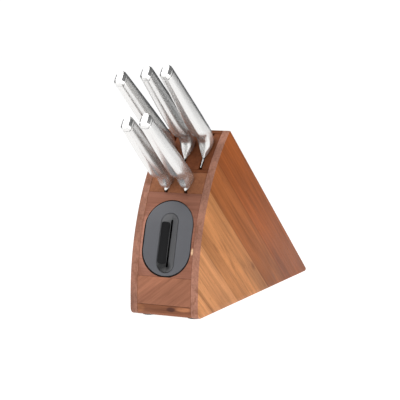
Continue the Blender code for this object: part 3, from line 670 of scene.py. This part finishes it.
def build_boards():
    woods = {
        "left_side_panel": (SIDE_WOOD, "side_wood"),
        "right_side_panel": (SIDE_WOOD, "side_wood"),
        "sharpener_board": (SHARPENER_BOARD_WOOD, "front_wood"),
        "lower_front_board": (LOWER_BOARD_WOOD, "front_wood"),
        "base_board": (BASE_WOOD, "front_wood"),
        "back_board": (DECK_WOOD_IN_PAINTED_SHADE, "deck_wood"),
        "core_block": (DECK_WOOD, "deck_wood"),
        "row_divider": (DECK_WOOD_IN_PAINTED_SHADE, "deck_wood"),
    }
    for number in range(1, 5):
        woods[f"back_row_slat_{number}"] = (DECK_WOOD_IN_PAINTED_SHADE, "deck_wood")
    for number in range(1, 4):
        woods[f"front_row_slat_{number}"] = (DECK_WOOD, "deck_wood")
    for node, (wood, slot) in woods.items():
        edge = 0.0 if node.endswith("side_panel") else 0.12 * MM
        finish(finished(node, edge), wood, slot, "block", node)


# --- Knives -------------------------------------------------------------------------------------------------


def knife_frame(name, lean, handle_length):
    """The knife's own frame, read from where its end cap's node lies."""
    into_block = -(Matrix.Rotation(math.radians(lean), 3, "X") @ SLIDE).normalized()
    right = Vector((1, 0, 0))
    up = right.cross(into_block)
    points = [vert.co for vert in frame["nodes"][f"{name}_end_cap"].data.vertices]

    def middle(direction):
        reach = [point.dot(direction) for point in points]
        return (min(reach) + max(reach)) / 2

    butt = max(point.dot(-into_block) for point in points)
    origin = right * middle(right) + up * middle(up) + into_block * (handle_length - butt)
    place = Matrix((right, into_block, up)).transposed().to_4x4()
    place.translation = origin
    return place


def handle_section():
    """Half a handle's outline from the spine round to the belly, as shares of its width and height."""
    points = []
    steps = 10
    for i in range(steps):
        turn = math.pi / 2 * i / steps
        points.append((math.sin(turn) ** 0.8, 0.15 + 0.85 * math.cos(turn) ** 0.8))
    points += [
        (1.0, 0.15),
        (1.0, -0.15),
        (1.0, -0.5),
        (0.975, -0.59),
        (0.62, -0.925),
        (0.53, -0.97),
        (0.50, -0.975),
        (0.25, -0.994),
        (0.0, -1.0),
    ]
    return points


SECTION = handle_section()


def handle_ring(y, top, bottom, top_half, bottom_half):
    half = (top - bottom) / 2
    middle = (top + bottom) / 2
    outline = SECTION + [(-across, up) for across, up in reversed(SECTION[1:-1])]
    ring = []
    for across, up in outline:
        share = min(1.0, (1 + up) * half / KEEL_HEIGHT) ** KEEL_POWER
        width = bottom_half + (top_half - bottom_half) * share
        ring.append((across * width, y, middle + up * half))
    return ring


def handle_stations(length, heel):
    """Sections from the bolster's end at 0 back to the butt: distance, spine, belly and both half widths."""
    butt = BUTT_HEIGHT / 2
    grip = HANDLE_HEIGHT / 2
    wide = HANDLE_WIDTH / 2
    thin = BLADE_THICKNESS / 2
    hollow = -grip * 0.56
    stations = [
        (0.0, grip * 0.80, -heel, wide * 0.90, thin),
        (1.6 * MM, grip * 0.90, -heel + 1.8 * MM, wide * 0.95, wide * 0.30),
        (5.0 * MM, grip * 0.97, (hollow - heel) * 0.5 - 1.0 * MM, wide * 0.98, wide * 0.68),
        (11.0 * MM, grip, hollow - 1.2 * MM, wide, wide * 0.88),
        (18.0 * MM, grip, hollow, wide, wide * 0.92),
        (26.0 * MM, grip, -grip * 0.86, wide, wide * 0.94),
        (34.0 * MM, grip, -grip, wide, wide * 0.96),
        (44.0 * MM, grip * 0.985, -grip, wide * 0.98, wide * 0.96),
    ]
    last = length - END_CAP - CAP_GAP
    part = (last - 44.0 * MM) / (length - 44.0 * MM)
    half_height = grip + (butt - grip) * part
    half_width = wide + (BUTT_WIDTH / 2 - wide) * part
    stations.append((last, half_height, -half_height, half_width, half_width))
    return stations


def smooth_stations(stations, step):
    """Sections in between, each value eased through its neighbours without overshooting."""
    places = [station[0] for station in stations]
    columns = list(zip(*[station[1:] for station in stations]))
    slopes = []
    for column in columns:
        rises = [(b - a) / (q - p) for a, b, p, q in zip(column, column[1:], places, places[1:])]
        inner = [0.0 if first * second <= 0 else 2 * first * second / (first + second)
                 for first, second in zip(rises, rises[1:])]
        slopes.append([rises[0], *inner, rises[-1]])
    result = []
    for i, (start, end) in enumerate(zip(places, places[1:])):
        parts = max(2, math.ceil((end - start) / step))
        for part in range(parts):
            t = part / parts
            gap = end - start
            values = []
            for column, slope in zip(columns, slopes):
                a = (2 * t**3 - 3 * t**2 + 1) * column[i] + (t**3 - 2 * t**2 + t) * gap * slope[i]
                b = (3 * t**2 - 2 * t**3) * column[i + 1] + (t**3 - t**2) * gap * slope[i + 1]
                values.append(a + b)
            result.append((start + gap * t, *values))
    result.append(stations[-1])
    return result


def build_handle(name, place, length, heel):
    stations = smooth_stations(handle_stations(length, heel), 2.0 * MM)
    rings = [handle_ring(-y, *sizes) for y, *sizes in stations]
    y, top, bottom, top_half, bottom_half = stations[-1]
    ease = 0.35 * MM
    rings[-1] = handle_ring(-y + ease, top, bottom, top_half, bottom_half)
    rings.append(handle_ring(-y, top - ease, bottom + ease, top_half - ease, bottom_half - ease))
    piece = settle(loft(f"{name}_steel_handle", rings), place)
    shade(piece, math.radians(38))
    return finish(piece, HANDLE_STEEL, "handle_steel", name, f"{name}_handle")


def build_end_cap(name, place, length):
    start = length - END_CAP
    tall = BUTT_HEIGHT / 2
    wide = BUTT_WIDTH / 2
    ease = 0.3 * MM
    steps = [
        (start, ease, ease),
        (start + ease, 0.0, 0.0),
        (length - CAP_SIDE_CHAMFER, 0.0, 0.0),
        (length - 0.2 * MM, CAP_END_ROUND, CAP_SIDE_CHAMFER - 0.1 * MM),
        (length, CAP_END_ROUND + 0.2 * MM, CAP_SIDE_CHAMFER + 0.1 * MM),
    ]
    rings = []
    for y, less_tall, less_wide in steps:
        half_height = tall - less_tall
        half_width = wide - less_wide
        rings.append(handle_ring(-y, half_height, -half_height, half_width, half_width))
    piece = settle(loft(f"{name}_steel_cap", rings), place)
    shade(piece, math.radians(28))
    return finish(piece, HANDLE_STEEL, "handle_steel", name, f"{name}_end_cap")


def blade_ring(y, top, bottom, thickness):
    """Spine with eased corners, flat upper faces, a ground taper and a fine cutting edge."""
    half = thickness / 2
    tall = top - bottom
    side = [
        (half * 0.72, top),
        (half, top - min(0.35 * MM, tall * 0.1)),
        (half, top - tall * 0.40),
        (half * 0.80, top - tall * 0.62),
        (half * 0.36, bottom + min(1.1 * MM, tall * 0.15)),
        (0.1 * MM, bottom),
    ]
    return [(x, y, z) for x, z in side] + [(-x, y, z) for x, z in reversed(side)]


def build_blade(name, place, length, edge_drop, tip, spine_power, edge_power):
    top = HANDLE_HEIGHT / 2 * 0.8
    bottom = -edge_drop
    serrated = name == "bread_knife"
    steps = 230 if serrated else 46
    rings = []
    for i in range(steps + 1):
        share = i / steps if serrated else math.sin(math.pi / 2 * i / steps)
        y = 0.6 * MM + (length - 0.6 * MM) * share
        spine = top - (top - tip) * share**spine_power
        edge = bottom + (tip - bottom) * share**edge_power
        if serrated and share < 0.93:
            edge += SCALLOP_DEPTH * abs(math.sin(math.pi * y / SCALLOP)) ** 0.7
        edge = min(edge, spine - 0.3 * MM)
        rings.append(blade_ring(y, spine, edge, BLADE_THICKNESS * (1 - 0.5 * share)))
    piece = settle(loft(f"{name}_ground_blade", rings), place)
    shade(piece, math.radians(20))
    return finish(piece, BLADE_STEEL, "blade_steel", name, f"{name}_blade")


def build_knives():
    for name, sizes in KNIVES.items():
        lean = sizes[0]
        handle, heel, blade, edge_drop, tip = [size * MM for size in sizes[1:6]]
        place = knife_frame(name, lean, handle)
        build_handle(name, place, handle, heel)
        build_end_cap(name, place, handle)
        build_blade(name, place, blade, edge_drop, tip, sizes[6], sizes[7])


# --- Sharpener ----------------------------------------------------------------------------------------------


def sharpener_frame():
    turn = Matrix.Rotation(-PLATE_TILT, 4, "X")
    origin = AXLE - turn.to_3x3() @ Vector((0, WHEEL_DEPTH, -THROAT_DROP))
    return Matrix.Translation(origin) @ turn


SHARPENER = sharpener_frame()


def arc_depth(rise):
    """How far the front arc falls back from the face plate's middle, at a distance up or down it."""
    return FRONT_RADIUS - math.sqrt(FRONT_RADIUS**2 - rise**2)


def stadium_ring(width, height, depth, centre=0.0, follow=1.0, count=96):
    """A round-ended slot outline facing the front, pressed back along the arc."""
    radius = width / 2
    straight = height / 2 - radius
    ring = []
    for i in range(count):
        angle = 2 * math.pi * (i + 0.5) / count
        x = radius * math.cos(angle)
        z = centre + radius * math.sin(angle) + math.copysign(straight, math.sin(angle))
        ring.append((x, depth + follow * arc_depth(z), z))
    return ring


def build_face():
    """The oval plate: its flat back, eased rim, face in rising bands, and the hole for the throat."""
    rings = [stadium_ring(PLATE_WIDTH, PLATE_HEIGHT, PLATE_THICKNESS, follow=0.0)]
    rings.append(stadium_ring(PLATE_WIDTH, PLATE_HEIGHT, PLATE_EDGE))
    rings.append(stadium_ring(PLATE_WIDTH - PLATE_EDGE * 0.6, PLATE_HEIGHT - PLATE_EDGE * 0.6, PLATE_EDGE * 0.25))
    bands = 8
    for i in range(bands + 1):
        share = i / bands
        wide = PLATE_WIDTH - 2 * PLATE_EDGE
        tall = PLATE_HEIGHT - 2 * PLATE_EDGE
        width = wide + (HOLE_WIDTH + 2 * PLATE_EDGE - wide) * share
        height = tall + (HOLE_HEIGHT + 2 * PLATE_EDGE - tall) * share
        rings.append(stadium_ring(width, height, 0.0, -THROAT_DROP * share))
    rings.append(stadium_ring(HOLE_WIDTH, HOLE_HEIGHT, PLATE_EDGE, -THROAT_DROP))
    rings.append(stadium_ring(HOLE_WIDTH, HOLE_HEIGHT, PLATE_THICKNESS, -THROAT_DROP, 0.0))
    rings.append(rings[0])
    piece = settle(loft("oval_face_plate", rings, round_trip=True), SHARPENER)
    shade(piece)
    return finish(piece, PLATE_PLASTIC, "plate_plastic", "block", "sharpener_face")


def build_throat():
    """The tapered mouth: a rounded lip, sloping walls and the slit at their foot."""
    drop = -THROAT_DROP
    rings = [stadium_ring(THROAT_WIDTH, THROAT_HEIGHT, THROAT_DEPTH, drop, 0.0)]
    rings.append(stadium_ring(THROAT_WIDTH, THROAT_HEIGHT, 0.35 * MM, drop))
    rings.append(stadium_ring(THROAT_WIDTH - 0.4 * MM, THROAT_HEIGHT - 0.4 * MM, 0.02 * MM, drop))
    rings.append(stadium_ring(THROAT_WIDTH - 1.0 * MM, THROAT_HEIGHT - 1.0 * MM, 0.15 * MM, drop))
    steps = 6
    mouth = (THROAT_WIDTH - 2 * MOUTH_LIP, THROAT_HEIGHT - 2 * MOUTH_LIP, 0.6 * MM, 1.0)
    foot = (SLIT_WIDTH, SLIT_HEIGHT, THROAT_DEPTH - 0.5 * MM, 0.0)
    for i in range(steps + 1):
        share = i / steps
        width, height, depth, follow = [a + (b - a) * share for a, b in zip(mouth, foot)]
        rings.append(stadium_ring(width, height, depth, drop, follow))
    rings.append(stadium_ring(SLIT_WIDTH, SLIT_HEIGHT, THROAT_DEPTH, drop, 0.0))
    rings.append(rings[0])
    piece = settle(loft("sharpening_throat", rings, round_trip=True), SHARPENER)
    shade(piece, math.radians(24))
    return finish(piece, THROAT_PLASTIC, "plate_plastic", "block", "sharpener_throat")


def build_wheels():
    """Two ceramic rings with a bevelled, finely dressed rim."""
    bore = 2.58 * MM
    radius = 13.0 * MM
    inner = 0.4 * MM
    outer = 6.4 * MM
    bevel = 3.2 * MM
    ease = 0.25 * MM
    profile = [
        (bore, outer),
        (radius - ease, outer),
        (radius, outer - ease),
        (radius, inner + bevel + ease),
        (radius - ease, inner + bevel - ease),
        (radius - bevel * 0.5, inner + bevel * 0.5),
        (radius - bevel + ease, inner + ease),
        (radius - bevel - ease, inner),
        (bore + ease, inner),
        (bore, inner + ease),
        (bore, outer),
    ]
    for name, side in (("left", -1), ("right", 1)):
        place = Matrix.Translation(AXLE) @ Matrix.Rotation(side * math.radians(90), 4, "Y")
        piece = turned(f"{name}_ceramic_wheel", profile, place, round_trip=True, count=96)
        shade(piece)
        finish(piece, CERAMIC, "ceramic", f"{name}_wheel", f"{name}_wheel")


def build_sharpener():
    build_face()
    build_throat()
    build_wheels()
    for node, edge, material, slot in (
        ("guide_pad", 0.15 * MM, BLACK_PLASTIC, "black_plastic"),
        ("sharpener_housing", 0.2 * MM, BLACK_PLASTIC, "black_plastic"),
        ("left_spacer", 0.15 * MM, BLACK_PLASTIC, "black_plastic"),
        ("right_spacer", 0.15 * MM, BLACK_PLASTIC, "black_plastic"),
        ("sharpener_axle", 0.2 * MM, ZINC, "screw_steel"),
        ("housing_screw_lower", 0.1 * MM, ZINC, "screw_steel"),
        ("housing_screw_upper", 0.1 * MM, ZINC, "screw_steel"),
    ):
        finish(finished(node, edge), material, slot, "block", node)


# --- Feet ---------------------------------------------------------------------------------------------------


def foot_centre(corner):
    low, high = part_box(f"foot_{corner}")
    return Vector(((low.x + high.x) / 2, (low.y + high.y) / 2, 0)), low.z, high.z, (high.x - low.x) / 2


def build_feet():
    for corner in ("front_left", "front_right", "rear_left", "rear_right"):
        centre, low, high, radius = foot_centre(corner)
        well = 3.1 * MM
        bore = 1.7 * MM
        ease = 0.4 * MM
        seat = low + 1.7 * MM
        profile = [
            (bore, high),
            (radius - ease * 0.5, high),
            (radius, high - ease * 0.5),
            (radius * 0.95, low + ease),
            (radius * 0.92 - ease, low),
            (well + ease, low),
            (well, low + ease),
            (well, seat),
            (bore, seat),
            (bore, high),
        ]
        piece = turned(f"rubber_foot_{corner}", profile, Matrix.Translation(centre), round_trip=True)
        shade(piece)
        finish(piece, RUBBER, "foot_rubber", "block", f"foot_{corner}")
        node = f"foot_screw_{corner}"
        finish(finished(node, 0.1 * MM), ZINC, "screw_steel", "block", node)


# --- Camera, light and floor --------------------------------------------------------------------------------


def add_camera():
    bpy.ops.object.camera_add(
        location=CAMERA_PLACE, rotation=(math.radians(90) - CAMERA_RISE, 0, CAMERA_ROUND)
    )
    camera = bpy.context.object
    camera.data.lens = CAMERA_LENS
    camera.data.sensor_width = 36.0
    camera.data.clip_end = 100.0
    bpy.context.scene.camera = camera


def add_softbox(name, place, aim, width, height, power):
    bpy.ops.object.light_add(type="AREA", location=place)
    light = bpy.context.object
    light.name = name
    light.data.shape = "RECTANGLE"
    light.data.size = width
    light.data.size_y = height
    light.data.energy = power
    light.rotation_euler = (Vector(aim) - Vector(place)).to_track_quat("-Z", "Y").to_euler()


def add_floor():
    deselect_all()
    bpy.ops.mesh.primitive_circle_add(vertices=128, radius=FLOOR_RADIUS, fill_type="NGON", location=(0, 0, 0))
    floor = bpy.context.object
    floor.name = "studio_floor"
    material = bpy.data.materials.new("pale floor")
    material.use_nodes = True
    shader = material.node_tree.nodes["Principled BSDF"]
    shader.inputs["Base Color"].default_value = (0.3, 0.3, 0.3, 1)
    shader.inputs["Roughness"].default_value = 0.9
    shader.inputs["Specular IOR Level"].default_value = 0.0
    shader.inputs["Emission Color"].default_value = (1, 1, 1, 1)
    shader.inputs["Emission Strength"].default_value = 1.0
    floor.data.materials.append(material)


def add_world():
    """White to the camera, and dim to everything else, so that the softboxes shape the steel."""
    world = bpy.data.worlds.new("studio")
    world.use_nodes = True
    tree = world.node_tree
    tree.nodes.clear()
    output = tree.nodes.new("ShaderNodeOutputWorld")
    seen = tree.nodes.new("ShaderNodeBackground")
    seen.inputs["Color"].default_value = (1, 1, 1, 1)
    seen.inputs["Strength"].default_value = 1.1
    dim = tree.nodes.new("ShaderNodeBackground")
    dim.inputs["Color"].default_value = (0.9, 0.95, 1.0, 1)
    dim.inputs["Strength"].default_value = 0.04
    choose = tree.nodes.new("ShaderNodeMixShader")
    path = tree.nodes.new("ShaderNodeLightPath")
    link(tree, path.outputs["Is Camera Ray"], choose.inputs[0])
    link(tree, dim.outputs[0], choose.inputs[1])
    link(tree, seen.outputs[0], choose.inputs[2])
    link(tree, choose.outputs[0], output.inputs["Surface"])
    bpy.context.scene.world = world


def add_studio():
    bpy.context.scene.view_settings.view_transform = "Standard"
    add_floor()
    add_world()
    middle = (0, 0, 0.1)
    add_softbox("overhead softbox", (-0.7, -0.9, 1.9), middle, 2.4, 2.4, 44)
    add_softbox("right softbox", (1.9, -0.9, 0.75), middle, 1.8, 1.2, 20)


def main():
    add_camera()
    build_boards()
    build_knives()
    build_sharpener()
    build_feet()
    add_studio()


main()
